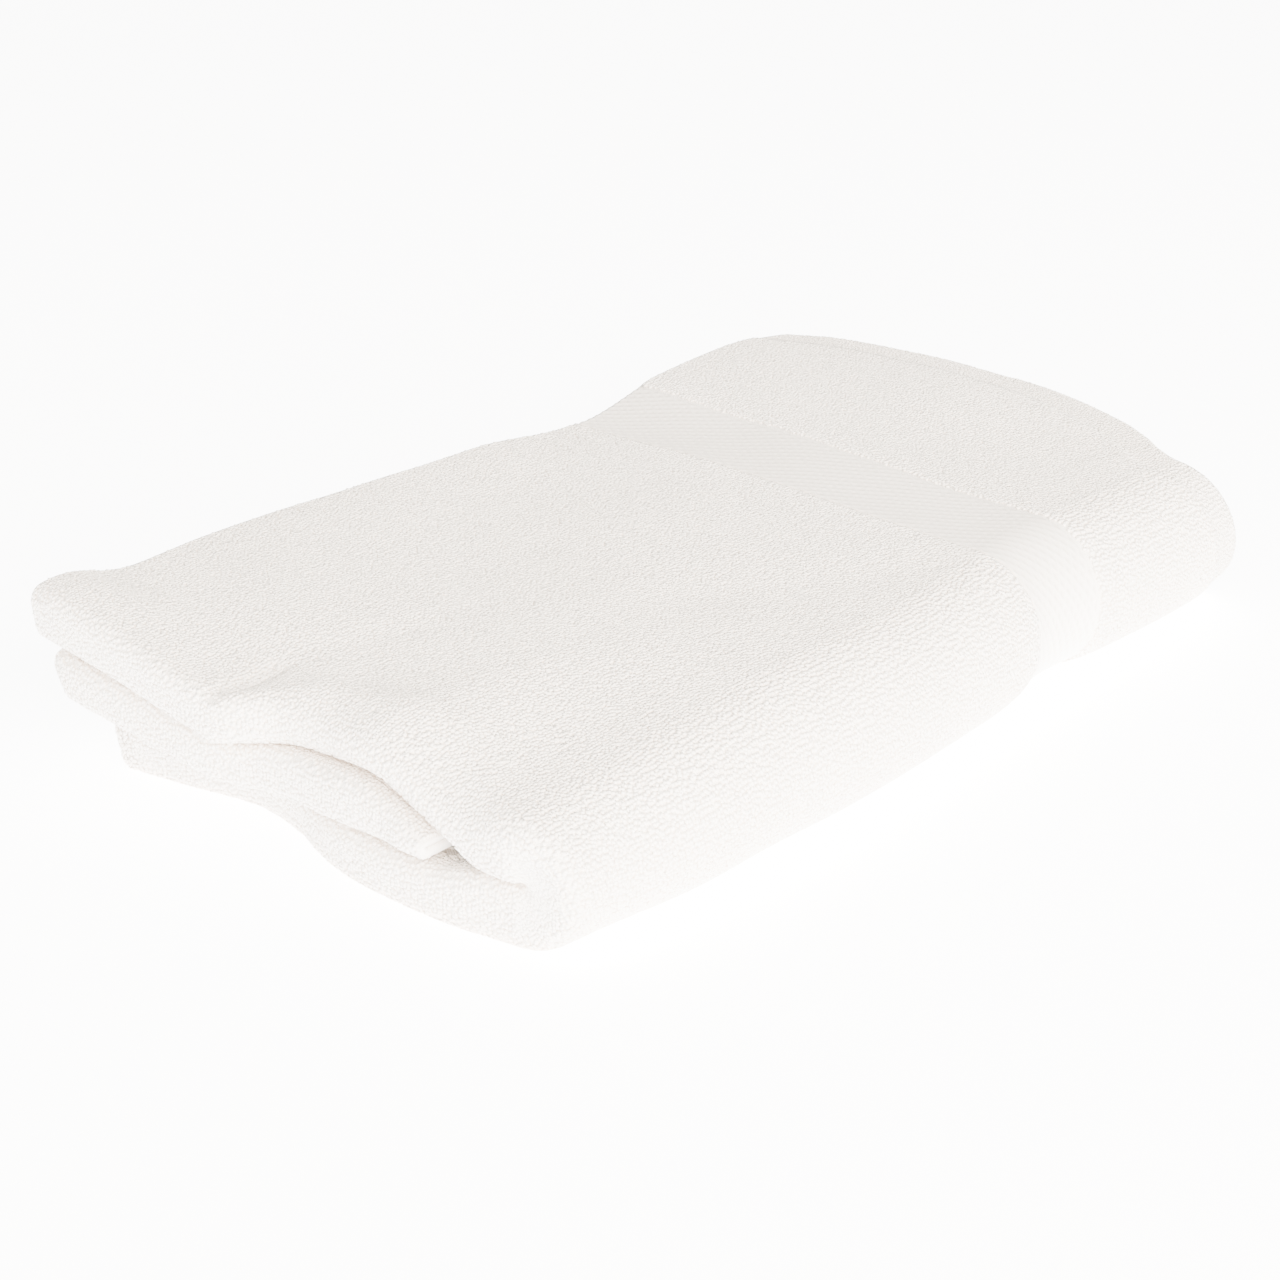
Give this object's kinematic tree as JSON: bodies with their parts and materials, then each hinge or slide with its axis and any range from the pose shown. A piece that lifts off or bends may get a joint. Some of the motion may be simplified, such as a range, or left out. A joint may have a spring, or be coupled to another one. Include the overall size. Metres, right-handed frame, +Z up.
{
  "type": "bath towel",
  "caption": "Folded white terry bath towel with a woven border band near its hem, lying flat; a soft rectangular stack of layers.",
  "frame": {"origin": "under the middle of the folded towel, on the surface it lies on", "axes": "+X along the folded length towards the hem that shows, +Y towards the selvedges at the back, +Z up; the smooth front fold is at -Y"},
  "size_m": [0.4744, 0.2856, 0.0738],
  "materials": {
    "terry": "soft white cotton loops on both faces, with a flat woven border"
  },
  "bodies": {
    "root": {"bath_towel": "terry"}
  },
  "joints": []
}
